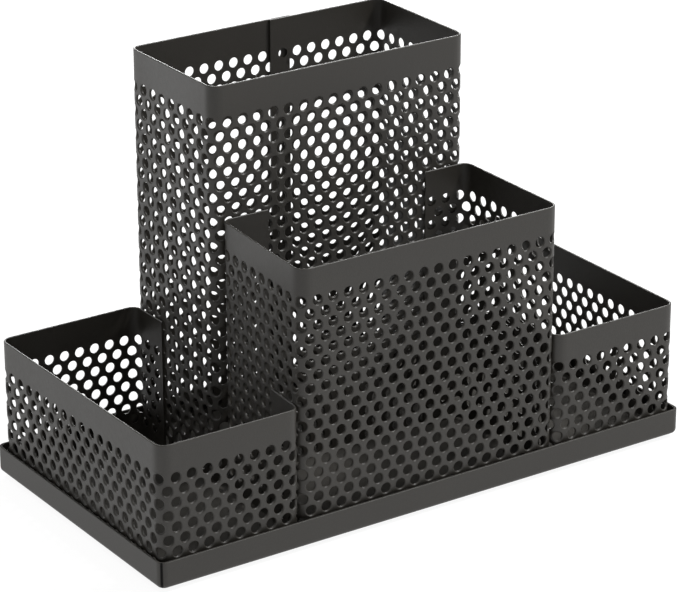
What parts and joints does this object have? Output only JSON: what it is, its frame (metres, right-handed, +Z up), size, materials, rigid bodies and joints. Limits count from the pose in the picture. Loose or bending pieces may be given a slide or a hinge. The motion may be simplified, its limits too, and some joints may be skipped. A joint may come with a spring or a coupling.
{
  "type": "desk organizer",
  "caption": "Desk organizer of perforated sheet steel: a tall cup behind a middle cup, a low bin on each side, all in one shallow tray.",
  "frame": {"origin": "on the surface it stands on, under the middle of the tray", "axes": "+X to the right along the long front, +Y from the front to the back, +Z up"},
  "size_m": [0.201, 0.1028, 0.1362],
  "materials": {
    "perforated_steel": "matt charcoal powder coat over punched holes",
    "plain_steel": "matt charcoal powder coat",
    "pad_rubber": "matt black"
  },
  "bodies": {
    "root": {"base_tray": "plain_steel", "tall_cup": "perforated_steel", "middle_cup": "perforated_steel", "left_bin": "perforated_steel", "right_bin": "perforated_steel", "foot_pads": "pad_rubber"}
  },
  "joints": []
}
